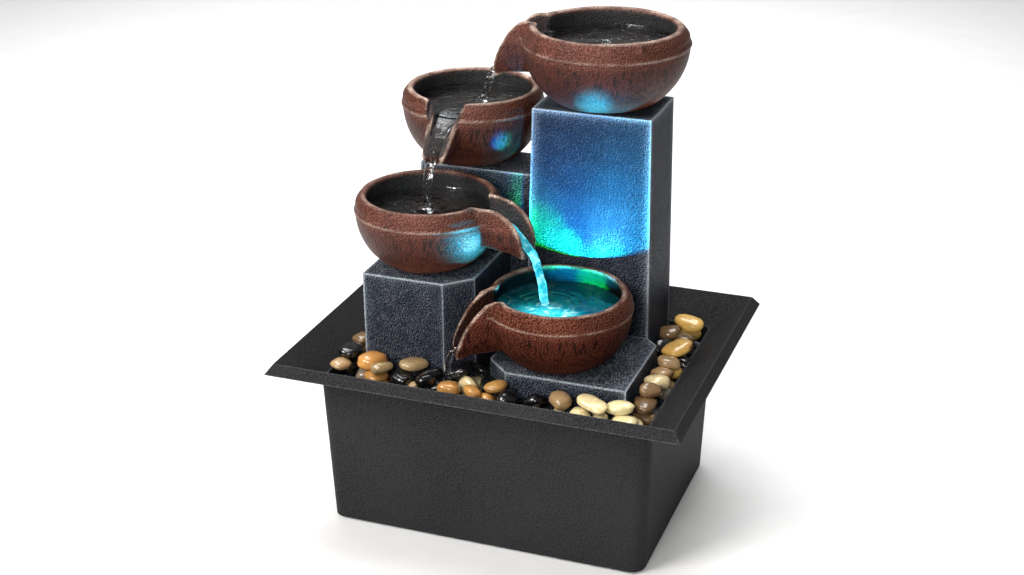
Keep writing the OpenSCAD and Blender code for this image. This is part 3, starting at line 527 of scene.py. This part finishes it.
def thrown_bowl(name, mat):
    """The CAD bowl remeshed, with its hard edges worn round and its spout blended in, as thrown clay is."""
    (x, y, z), radial, tall, *_ = BOWLS[name]
    cad = frame["nodes"][name]
    mesh = cad.data.copy()
    mesh.transform(Matrix.Translation(-Vector((x, y, z)) * MM))
    source = bpy.data.objects.new(name + "_source", mesh)
    bpy.context.scene.collection.objects.link(source)
    weld = source.modifiers.new("weld", "WELD")
    weld.merge_threshold = 0.00002
    voxels = source.modifiers.new("voxels", "REMESH")
    voxels.mode = "VOXEL"
    voxels.voxel_size = VOXEL
    voxels.use_smooth_shade = True
    clay = evaluated_mesh(source)
    bpy.data.objects.remove(source)
    pairs, count = edge_pairs(clay)
    co = coordinates(clay)
    for _ in range(SMOOTHINGS):
        co = co + 0.5 * (neighbour_mean(co, pairs, count) - co)
    step = neighbour_mean(co, pairs, count) - co
    clay.vertices.foreach_set("co", co.ravel())
    clay.update()
    normals = np.empty(len(co) * 3)
    clay.vertices.foreach_get("normal", normals)
    normals = normals.reshape(-1, 3)
    convex = -np.einsum("ij,ij->i", step, normals)[:, None]
    for _ in range(EDGE_SMOOTHINGS):
        convex = 0.5 * convex + 0.5 * neighbour_mean(convex, pairs, count)
    edge = smoothstep(*EDGE_TURN, convex[:, 0])
    mm = co / MM
    r = np.hypot(mm[:, 0], mm[:, 1]) / radial
    h = mm[:, 2] / tall
    inner = HOLLOW_SHIFT + np.sqrt(np.maximum(HOLLOW_R ** 2 - np.minimum(h - HOLLOW_H, 0) ** 2, 0))
    turned = np.arctan2(mm[:, 1], mm[:, 0])
    from_axis = mm[:, :2] / np.maximum(np.hypot(mm[:, 0], mm[:, 1]), 1)[:, None]
    inward = -np.einsum("ij,ij->i", normals[:, :2], from_axis)
    inside = (r < inner + HOLLOW_SKIN) & (h > HOLLOW_FLOOR) & ((inward > -0.25) | (h < 12))
    inside = inside * smoothstep(0.6, 2.6, BOWL_H - h)
    _, out, side = spout_frame(name)
    s, q = mm @ np.array(out), mm @ np.array(side)
    facing = -np.sign(q) * (normals @ np.array(side))
    channel = (s > CHANNEL_START) & (np.abs(q) < CHANNEL_HALF) & (h < BOWL_H)
    channel &= (facing > 0.3) | (normals[:, 2] > 0.55)
    inside = np.maximum(inside, 0.8 * channel * (1 - np.minimum(1.4 * edge, 1)))
    streaky = smoothstep(*STREAKS_IN, h) * (1 - smoothstep(*STREAKS_OUT, h)) * smoothstep(-0.2, 0.2, -inward)
    outward = smoothstep(0.3, 0.6, -inward) * (1 - smoothstep(*SPOUT_FROM, r))
    ring = {key: np.exp(-((h - at) / half) ** 2) * outward for key, (at, half, _) in RIM_RINGS.items()}
    raised = sum(size * ring[key] for key, (_, _, size) in RIM_RINGS.items())
    co = co + normals * (raised * MM)[:, None]
    # the bead's crest joins the pale edges: wear and a painted highlight
    edge = np.maximum(edge, 0.6 * ring["bead"])
    for angle, height, width, depth in DRIPS.get(name, ()):
        round_by = np.degrees(np.angle(np.exp(1j * (turned - math.radians(angle)))))
        away = np.hypot(round_by * MM_PER_DEGREE / width, (h - height) / width)
        co = co + normals * (MM * depth * np.exp(-away ** 2) * (inward < 0.3))[:, None]
    wobble = np.array([noise.noise(Vector(p) * WOBBLE_SCALE + Vector((x, y, z))) for p in co])
    co = co + normals * (wobble * WOBBLE)[:, None]
    co[:, 2] = np.clip(co[:, 2], 0, BOWL_H * tall * MM)
    clay.vertices.foreach_set("co", co.ravel())
    layer = clay.color_attributes.new("mask", "FLOAT_COLOR", "POINT")
    rgba = np.ones((len(co), 4))
    rgba[:, 0], rgba[:, 1], rgba[:, 2] = inside, edge, streaky
    layer.data.foreach_set("color", rgba.ravel())
    clay.materials.clear()
    clay.materials.append(mat)
    clay.polygons.foreach_set("use_smooth", [True] * len(clay.polygons))
    piece = add_object("clay_" + name, clay, "tower", Vector((x, y, z)) * MM)
    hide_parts(name)


# ---------------------------------------------------------------- pebbles

# Colours of the stones that show, by where they lie on the plate, in millimetres
SHOWN_STONES = [
    ("brown", -77, -26), ("black", -79, -40), ("black", -27, -46), ("black", 11, -44), ("orange", -63, -54),
    ("orange", -14, -56), ("orange", 5, -55), ("cream", -59, -45), ("cream", 60, -52), ("cream", 73, -50),
    ("cream", 82, -50), ("cream", 77, -21), ("ochre", 79, 22), ("ochre", 79, 51), ("black", -32, -54),
    ("cream", -11, -47), ("cream", -4, -42), ("tan", -44, -51), ("tan", -49, -52), ("tan", 33, -55),
    ("brown", 42, -47), ("cream", 53, -52), ("brown", 70, 38), ("tan", 79, -3), ("grey", 82, -12),
    ("brown", 80, -33), ("ochre", 73, 12), ("black", 74, 28), ("tan", 81, 37), ("black", -45, -57),
    ("tan", -75, -55), ("grey", -28, -57), ("grey", 30, -58), ("black", -80, -49), ("black", 17, -53),
    ("ochre", -68, -38), ("grey", -70, -46), ("black", -20, -50), ("black", 3, -47), ("brown", 72, -40),
]
TONES = {
    "cream": ("cream", (0.95, 0.8, 0.44)), "grey": ("cream", (0.34, 0.3, 0.22)),
    "tan": ("brown", (0.46, 0.31, 0.15)), "brown": ("brown", (0.2, 0.12, 0.055)),
    "orange": ("brown", (0.62, 0.32, 0.09)),
    "ochre": ("brown", (0.78, 0.5, 0.13)), "black": ("black", (0.006, 0.006, 0.007)),
}
# A shown stone's tone spreads to the stones this near
TONE_REACH = 9
# The bed, in millimetres: its grid's cell and half sizes, the half sizes inside the tub's walls, and the gap
# left round the castings
CELL = 0.5
FIELD_X, FIELD_Y = 86.0, 64.0
TUB_X, TUB_Y = 83.6, 61.2
CASTING_GAP = 0.4
# A height that no stone can rest on
WALL = 500
# Cut corners of the castings: which side, and how much is cut off along each edge
CORNER_CUTS = {"pillar_front": ((1, 12.4),), "plinth": ((-1, 12.4), (1, 7))}
# Half lengths that a stone may have along its three axes, and the spreads of its tilts, in degrees, with the
# share of stones that each has
STONE_AXES = ((4.8, 8.6), (3.9, 6.2), (2.4, 3.9))
TILTS = (8, 22, 60)
TILT_SHARES = (0.45, 0.4, 0.15)
# The bed's height, a little more on the left, and when no more stones are dropped
BED_TOP = 90.5
LEFT_SIDE, LEFT_RISE = -30, 2.5
PLACES_TRIED = 70
MOST_MISSES = 90
MOST_STONES = 620


def bed_floor():
    """Heights that the stones can rest on, in millimetres, with a wall wherever one can't lie."""
    xs = np.arange(-FIELD_X, FIELD_X + CELL / 2, CELL)
    ys = np.arange(-FIELD_Y, FIELD_Y + CELL / 2, CELL)
    gx, gy = np.meshgrid(xs, ys, indexing="ij")
    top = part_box("tower_base")[1].z / MM
    ground = np.full(gx.shape, top)
    ground[(np.abs(gx) > TUB_X) | (np.abs(gy) > TUB_Y)] = WALL
    gap = CASTING_GAP
    for name in ("pillar_tall", "pillar_middle", "pillar_front", "plinth"):
        low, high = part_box(name)
        inside = ((gx > low.x / MM - gap) & (gx < high.x / MM + gap)
                  & (gy > low.y / MM - gap) & (gy < high.y / MM + gap))
        for side, size in CORNER_CUTS.get(name, ()):
            corner_x = high.x / MM - gx if side > 0 else gx - low.x / MM
            inside &= corner_x + (gy - low.y / MM) > size - 1.4 * gap
        ground[inside] = WALL
    return xs, ys, ground


def stone_surfaces(axes, turn):
    """Lower and upper surface of a tilted ellipsoid over the grid cells that it covers, and their range."""
    q = turn @ np.diag(1 / axes ** 2) @ turn.T
    reach = int(math.ceil(max(axes) / CELL)) + 1
    d = np.arange(-reach, reach + 1) * CELL
    dx, dy = np.meshgrid(d, d, indexing="ij")
    b = q[0, 2] * dx + q[1, 2] * dy
    c = q[0, 0] * dx ** 2 + 2 * q[0, 1] * dx * dy + q[1, 1] * dy ** 2 - 1
    root = b * b - q[2, 2] * c
    covered = root > 0
    root = np.sqrt(np.maximum(root, 0))
    return covered, (-b - root) / q[2, 2], (-b + root) / q[2, 2], reach


def pile_of_stones():
    """Drops stones one by one on the lowest of several places, and returns (centre, axes, turn) of each."""
    rng = np.random.default_rng(11)
    xs, ys, height = bed_floor()
    stones = []
    misses = 0
    while misses < MOST_MISSES and len(stones) < MOST_STONES:
        axes = np.array([rng.uniform(*span) for span in STONE_AXES])
        tilt = rng.choice(TILTS, p=TILT_SHARES)
        turn = np.array(Euler((math.radians(rng.normal(0, tilt)), math.radians(rng.normal(0, tilt * 0.6)),
                               rng.uniform(0, math.tau))).to_matrix())
        covered, low, up, reach = stone_surfaces(axes, turn)
        best = None
        for _ in range(PLACES_TRIED):
            i = rng.integers(reach, len(xs) - reach)
            j = rng.integers(reach, len(ys) - reach)
            under = height[i - reach:i + reach + 1, j - reach:j + reach + 1]
            rest = (under - low)[covered].max()
            limit = BED_TOP + (LEFT_RISE if xs[i] < LEFT_SIDE else 0)
            if rest + up[covered].max() < limit and (best is None or rest < best[0]):
                best = (rest, i, j)
        if best is None:
            misses += 1
            continue
        rest, i, j = best
        part = height[i - reach:i + reach + 1, j - reach:j + reach + 1]
        part[covered] = np.maximum(part, rest + up)[covered]
        stones.append((Vector((xs[i], ys[j], rest)), axes, turn))
    return stones


def stone_mesh(bm, layer, centre, axes, turn, colour, seed):
    """Adds one worn stone: a flattened ball with soft corners and shallow dents."""
    made = bmesh.ops.create_icosphere(bm, subdivisions=3, radius=1)["verts"]
    spin = Vector((seed * 1.7, seed * 0.9, seed * 2.3))
    matrix = Matrix(turn.tolist())
    for vert in made:
        p = vert.co.copy()
        power = 2.2 + 1.1 * ((seed * 0.618) % 1)
        size = sum(abs(c) ** power for c in p) ** (-1 / power)
        dent = 1 + 0.22 * noise.noise(p * 0.9 + spin) + 0.07 * noise.noise(p * 2.2 + spin)
        q = Vector([c * size * a * dent * 0.97 for c, a in zip(p, axes)])
        vert.co = (centre + matrix @ q) * MM
        vert[layer] = (*colour, 1)


def pebbles(mat):
    """The bed of stones, in one piece for each CAD node that it replaces."""
    random.seed(5)
    stones = pile_of_stones()
    groups = {"cream": bmesh.new(), "brown": bmesh.new(), "black": bmesh.new()}
    layers = {key: bm.verts.layers.float_color.new("tone") for key, bm in groups.items()}
    for k, (centre, axes, turn) in enumerate(stones):
        near = min(SHOWN_STONES, key=lambda s: math.hypot(s[1] - centre.x, s[2] - centre.y))
        gap = math.hypot(near[1] - centre.x, near[2] - centre.y)
        kind = near[0] if gap < TONE_REACH else random.choice(list(TONES) + ["tan", "brown", "ochre"])
        group, colour = TONES[kind]
        shade = random.uniform(0.8, 1.2)
        warm = random.uniform(0.92, 1.08)
        colour = (colour[0] * shade, colour[1] * shade * warm, colour[2] * shade * warm)
        stone_mesh(groups[group], layers[group], centre, axes, turn, colour, k)
    for key, bm in groups.items():
        mesh = bpy.data.meshes.new("stones_" + key)
        for face in bm.faces:
            face.smooth = True
        bm.to_mesh(mesh)
        bm.free()
        mesh.materials.append(mat)
        piece = add_object("stones_" + key, mesh, "tower")
        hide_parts("pebbles_" + key)


# ---------------------------------------------------------------- water

# Pools, in millimetres: radius, thickness, the rings that run out from a landing, the swell and the splash
POOL_R = 31.9
POOL_THICK = 1.5
RIPPLE = 0.28
RIPPLE_FADE = 13
RIPPLE_RATE = 1.5
SWELL = 0.22
SPLASH = 0.7
SPLASH_R = 3.4
# Streams, in millimetres: half widths and half thicknesses along the spout and down to the landing
SPOUT_WIDTHS = [9, 7, 5, 3.6, 3.1]
SPOUT_THICKS = [0.4, 0.7, 0.9, 1.0, 1.2]
FALL_POINTS = 5
GRAVITY = 9.81
# Height that the lowest bowl's trickle falls to, among the stones
TRICKLE_END = 88


def spout_frame(name):
    """The bowl's rim centre, and the spout's outward and sideways directions."""
    (x, y, z), _, tall, direction, *_ = BOWLS[name]
    angle = math.radians(direction)
    return (Vector((x, y, z + BOWL_H * tall)), Vector((math.cos(angle), math.sin(angle), 0)),
            Vector((-math.sin(angle), math.cos(angle), 0)))


def pool_level(name):
    """Height of a bowl's water."""
    return spout_frame(name)[0].z - BOWLS[name][-1]


def spline(points, n):
    """Points on a smooth curve through the given ones."""
    out = []
    last = len(points) - 1
    for k in range(n + 1):
        t = k / n * last
        i = min(int(t), last - 1)
        f = t - i
        a, b, c, d = (points[max(i - 1, 0)], points[i], points[i + 1], points[min(i + 2, last)])
        out.append(0.5 * (2 * b + (c - a) * f + (2 * a - 5 * b + 4 * c - d) * f * f
                          + (3 * b - a - 3 * c + d) * f ** 3))
    return out


def pool(name, mat, landing=None):
    """A bowl's water: a shallow disc with rings running out from where the stream lands."""
    rim = spout_frame(name)[0]
    level = pool_level(name)
    radius = BOWLS[name][1] * POOL_R
    landing = landing or Vector((rim.x, rim.y, 0))
    bm = bmesh.new()
    rings, turns = 46, 96
    grid = []
    for i in range(1, rings + 1):
        row = []
        for j in range(turns):
            a = math.tau * j / turns
            p = Vector((rim.x + radius * i / rings * math.cos(a),
                        rim.y + radius * i / rings * math.sin(a), level))
            d = math.hypot(p.x - landing.x, p.y - landing.y)
            swell = SWELL * noise.noise(p * 0.17)
            p.z += RIPPLE * math.exp(-d / RIPPLE_FADE) * math.cos(d * RIPPLE_RATE) + swell
            p.z += SPLASH * math.exp(-(d / SPLASH_R) ** 2) * (1 + noise.noise(p * 0.9))
            row.append(bm.verts.new(p * MM))
        grid.append(row)
    middle = bm.verts.new(Vector((rim.x, rim.y, level)) * MM)
    below = [bm.verts.new((v.co.x, v.co.y, (level - POOL_THICK) * MM)) for v in grid[-1]]
    for j in range(turns):
        k = (j + 1) % turns
        bm.faces.new((middle, grid[0][j], grid[0][k]))
        for i in range(rings - 1):
            bm.faces.new((grid[i][j], grid[i + 1][j], grid[i + 1][k], grid[i][k]))
        bm.faces.new((grid[-1][j], below[j], below[k], grid[-1][k]))
    bm.faces.new(list(reversed(below)))
    for face in bm.faces:
        face.smooth = len(face.verts) < 5
    mesh = bpy.data.meshes.new("pool_" + name)
    bm.to_mesh(mesh)
    bm.free()
    mesh.materials.append(mat)
    return add_object("pool_" + name, mesh, "tower")


def stream(name, mat, level, speed, width=1.0):
    """Water that slides down a spout and falls to the given level; returns where it lands."""
    rim, out, side = spout_frame(name)
    _, _, _, _, start, tip, drop, _, depth = BOWLS[name]

    def at(s, h):
        return rim + out * s + Vector((0, 0, h))

    way = [at(start - 10, -1.5 - depth), at(start - 2, -0.1 - depth),
           at(start + 0.42 * (tip - start), -depth - 0.22 * (drop - 10)),
           at(tip - 7, 11.9 - drop), at(tip + 0.5, 4.3 - drop)]
    lip = way[-1]
    widths = [w * width for w in SPOUT_WIDTHS]
    thick = list(SPOUT_THICKS)
    fall = lip.z - level
    vx, vz = 0.72 * speed, 0.6 * speed
    total = (-vz + math.sqrt(vz * vz + 2 * GRAVITY * fall * MM)) / GRAVITY
    for k in range(1, FALL_POINTS + 1):
        part = k / FALL_POINTS
        t = total * part
        way.append(lip + out * (vx * t / MM) - Vector((0, 0, (vz * t + GRAVITY / 2 * t * t) / MM)))
        widths.append(width * (SPOUT_WIDTHS[-1] - 0.8 * part ** 0.5))
        thick.append(SPOUT_THICKS[-1] + 0.7 * part ** 0.5)
    landing = way[-1].copy()
    count = 90
    centres = spline(way, count)
    bm = bmesh.new()
    sides = 20
    rows = []
    for k, c in enumerate(centres):
        t = k / count * (len(way) - 1)
        i = min(int(t), len(way) - 2)
        w = widths[i] + (widths[i + 1] - widths[i]) * (t - i)
        th = thick[i] + (thick[i + 1] - thick[i]) * (t - i)
        along = (centres[min(k + 1, count)] - centres[max(k - 1, 0)]).normalized()
        up = side.cross(along).normalized()
        row = []
        for j in range(sides):
            a = math.tau * j / sides
            p = c + side * (w * math.cos(a)) + up * (th * math.sin(a))
            lumpy = noise.noise(Vector((p.x * 0.5, p.y * 0.5, p.z * 0.13 + c.x)))
            p += up * (0.5 * th * lumpy * math.sin(a)) + side * (0.35 * lumpy * math.cos(a))
            row.append(bm.verts.new(p * MM))
        rows.append(row)
    for k in range(count):
        for j in range(sides):
            m = (j + 1) % sides
            bm.faces.new((rows[k][j], rows[k][m], rows[k + 1][m], rows[k + 1][j])).smooth = True
    bm.faces.new(list(reversed(rows[0])))
    bm.faces.new(rows[-1])
    bmesh.ops.recalc_face_normals(bm, faces=bm.faces)
    mesh = bpy.data.meshes.new("stream_" + name)
    bm.to_mesh(mesh)
    bm.free()
    mesh.materials.append(mat)
    add_object("stream_" + name, mesh, "tower")
    return landing


def lit_water(name, strength, centre=None):
    """Water that the lamp shines through, with the lamp's light in it painted as a glow of its own: teal, and
    whiter where it is churned; with a centre, the painted glow is brightest there and fades away from it.
    """
    mat, nodes, links, bsdf = new_material(name)
    at = object_coords(nodes)
    churn = texture(nodes, links, "Noise", at, 150, Detail=2.5, Roughness=0.55, Distortion=1.2)
    colour = ramp(nodes, links, churn.outputs["Fac"],
                  [(0.34, (0.0, 0.24, 0.33)), (0.55, (0.03, 0.42, 0.52)), (0.7, (0.45, 0.85, 0.92))])
    if centre:
        away = nodes.new("ShaderNodeVectorMath")
        away.operation = "SUBTRACT"
        links.new(at, away.inputs[0])
        away.inputs[1].default_value = Vector(centre) * MM
        flat = nodes.new("ShaderNodeVectorMath")
        flat.operation = "MULTIPLY"
        links.new(away.outputs["Vector"], flat.inputs[0])
        flat.inputs[1].default_value = (0.8, 1.5, 0)
        away = nodes.new("ShaderNodeVectorMath")
        away.operation = "LENGTH"
        links.new(flat.outputs["Vector"], away.inputs[0])
        # painted light: the glow fades with distance from the centre
        near = ramp(nodes, links, away.outputs["Value"],
                    [(0.004, 1.0), (0.01, 0.55), (0.017, 0.07), (0.03, 0.01)])
        colour = mix(nodes, links, 1.0, colour, near, "MULTIPLY")
        bsdf.inputs["Base Color"].default_value = (0.001, 0.02, 0.025, 1)
    else:
        bsdf.inputs["Base Color"].default_value = (0.7, 0.95, 1, 1)
        bsdf.inputs["Transmission Weight"].default_value = 1
    # the glow is painted light, given off by the water itself
    links.new(colour, bsdf.inputs["Emission Color"])
    bsdf.inputs["Emission Strength"].default_value = strength
    bsdf.inputs["IOR"].default_value = 1.33
    links.new(ramp(nodes, links, churn.outputs["Fac"], [(0.3, 0.03), (0.7, 0.12)]), bsdf.inputs["Roughness"])
    bump(nodes, links, bsdf, churn.outputs["Fac"], 0.3, 0.001)
    return mat


def dress_works():
    """Finishes of the parts inside the tub and the tower, each as its maker would supply it."""
    dark_rubber = speckled("moulded_rubber", (0.012, 0.012, 0.012), (0.03, 0.03, 0.03), 900, 0.7)
    black_nylon = speckled("moulded_nylon", (0.015, 0.015, 0.016), (0.035, 0.035, 0.037), 1300, 0.42)
    pump_black = speckled("pump_abs", (0.02, 0.02, 0.022), (0.045, 0.045, 0.05), 1100, 0.5)
    white_nylon = speckled("white_nylon", (0.62, 0.62, 0.6), (0.74, 0.74, 0.72), 900, 0.4)
    clear_vinyl = speckled("pale_vinyl", (0.5, 0.54, 0.55), (0.66, 0.7, 0.7), 300, 0.2)
    lead_black = speckled("lead_jacket", (0.01, 0.01, 0.011), (0.026, 0.026, 0.028), 1600, 0.5)
    looks = (
        (("basin_feet", "pump_suckers", "lamp_seal"), dark_rubber),
        (("cord_grommet",), black_nylon),
        (("riser_tube",), clear_vinyl),
        (("outlet_fitting", "lamp_housing"),
         speckled("grey_nylon", (0.06, 0.06, 0.065), (0.1, 0.1, 0.105), 1100, 0.45)),
        (("lamp_board",), speckled("board_mask", (0.005, 0.06, 0.03), (0.01, 0.1, 0.05), 1500, 0.35)),
        (("lamp_leds",), glowing("lit_leds", (0.1, 0.8, 1.0), 6)),
        (("lamp_lens",), glowing("lit_lens", (0.05, 0.6, 0.7), 1.2)),
        (("lamp_lead", "branch_lead", "pump_lead"), lead_black),
        (("lamp_plug", "lamp_socket"), black_nylon),
        (("pump_body", "volute_cover", "intake_cover"), pump_black),
        (("pump_end_plate",),
         speckled("potting_resin", (0.01, 0.01, 0.01), (0.022, 0.022, 0.024), 500, 0.25)),
        (("pump_stator",),
         speckled("steel_laminations", (0.3, 0.3, 0.31), (0.45, 0.45, 0.46), 1400, 0.4, 0.9)),
        (("pump_coil",),
         speckled("enamelled_copper", (0.42, 0.14, 0.05), (0.62, 0.26, 0.1), 1800, 0.3, 0.9)),
        (("pump_shaft",), speckled("ground_steel", (0.55, 0.55, 0.56), (0.7, 0.7, 0.71), 2400, 0.2, 1.0)),
        (("impeller",), white_nylon),
        (("rotor_magnet",), speckled("ferrite", (0.03, 0.028, 0.028), (0.07, 0.066, 0.064), 1500, 0.5, 0.2)),
        (("intake_foam",),
         speckled("filter_foam", (0.01, 0.01, 0.012), (0.06, 0.06, 0.065), 700, 0.95, 0.0, 0.0008)),
        (("flow_regulator",), speckled("blue_nylon", (0.02, 0.08, 0.3), (0.04, 0.13, 0.42), 1200, 0.4)),
    )
    for names, mat in looks:
        dress(names, mat)


def lamp_light():
    """The coloured light that the lamp throws out of the lowest bowl.

    A beam has its start on the lens and its aim, in millimetres, then its power, colour and cone in degrees.
    """
    low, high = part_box("lamp_lens")
    lamp = Vector(((low.x + high.x) / 2, (low.y + high.y) / 2, high.z + 0.0016))
    beams = {
        "lamp_blue": ((-3, -2), (28, 17, 150), 3.5, (0.0, 0.42, 1.0), 74),
        "lamp_cyan": ((2, 2), (52, 17, 160), 2.2, (0.0, 0.66, 1.0), 54),
        "lamp_green": ((8, -8), (8, 16.8, 143), 4.0, (0.0, 1.0, 0.05), 24),
        "lamp_green_side": ((8, -8), (7, 16.8, 155), 0.7, (0.0, 1.0, 0.3), 20),
        "lamp_green_low": ((8, -8), (20, 16.8, 138), 4.0, (0.0, 1.0, 0.05), 17),
        "lamp_pale": ((0, 0), (40, 16.8, 148), 0.6, (0.4, 0.9, 1.0), 30),
        "lamp_under_top": ((0, 0), (34, 9, 218), 5, (0.0, 0.6, 1.0), 12),
        "lamp_on_left": ((0, 0), (-13, -29, 150), 1.6, (0.02, 0.62, 1.0), 36),
        "lamp_on_left_core": ((0, 0), (-12, -30, 147), 0.6, (0.4, 0.95, 1.0), 12),
        "lamp_on_middle": ((0, 0), (-22, 22, 192), 4, (0.0, 0.2, 1.0), 7),
        "lamp_on_middle_low": ((0, 0), (-18, 22, 187), 2, (0.0, 0.9, 0.6), 7),
        "lamp_on_pillar": ((0, 0), (-12, 30, 156), 0.04, (0.0, 0.85, 0.7), 34),
        "lamp_inner": ((0, 0), (36, 13, 124), 4.0, (0.0, 1.0, 0.1), 40),
        "lamp_bowl": ((0, 0), (10, 4, 122), 0.12, (0.0, 0.5, 0.7), 150),
    }
    for name, ((dx, dy), aim, power, colour, cone) in beams.items():
        beam = light(name, "SPOT", lamp + Vector((dx, dy, 0)) * MM, power, colour, Vector(aim) * MM,
                     shadow_soft_size=0.001, spot_size=math.radians(cone), spot_blend=1.0)
        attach(beam, "tower")


camera()
studio()
basin_look = basin_plastic()
slate_look = slate_cast("slate_paint", 1.0, 0.25)
pottery_look = pottery("brushed_pottery", 0.004, 0.2)
# the lamp's bowl has its own copy, its inside painted ten times darker as painted shade against the lamp's
# light, and less glossy
lamp_bowl_pottery_painted_dark = pottery("brushed_pottery_painted_dark", 0.0004, 0.03)
water_look = water()
dress(["basin"], basin_look)
dress(["tower_base", "pillar_middle", "pillar_front", "plinth"], slate_look, 0.0008)
dress(["pillar_tall"], slate_cast("slate_paint_tall", 0.4, 0.7), 0.0008)
dress_works()
for bowl_name in BOWLS:
    thrown_bowl(bowl_name, lamp_bowl_pottery_painted_dark if bowl_name == "bowl_right" else pottery_look)
pebbles(pebble_stone())


pool("bowl_top", water_look)
into_middle = stream("bowl_top", water_look, pool_level("bowl_middle"), 0.2)
pool("bowl_middle", water_look, into_middle)
into_left = stream("bowl_middle", water_look, pool_level("bowl_left"), 0.16)
pool("bowl_left", water_look, into_left)
# the stream and pool in the lamp's light glow with painted light
into_right = stream("bowl_left", lit_water("lit_stream", 0.9), pool_level("bowl_right"), 0.18)
lit_pool = pool("bowl_right", lit_water("lit_pool", 2.6, (26, -32, into_right.z)), into_right)
lit_pool.visible_shadow = False
stream("bowl_right", water_look, TRICKLE_END, 0.1, 0.4)
lamp_light()
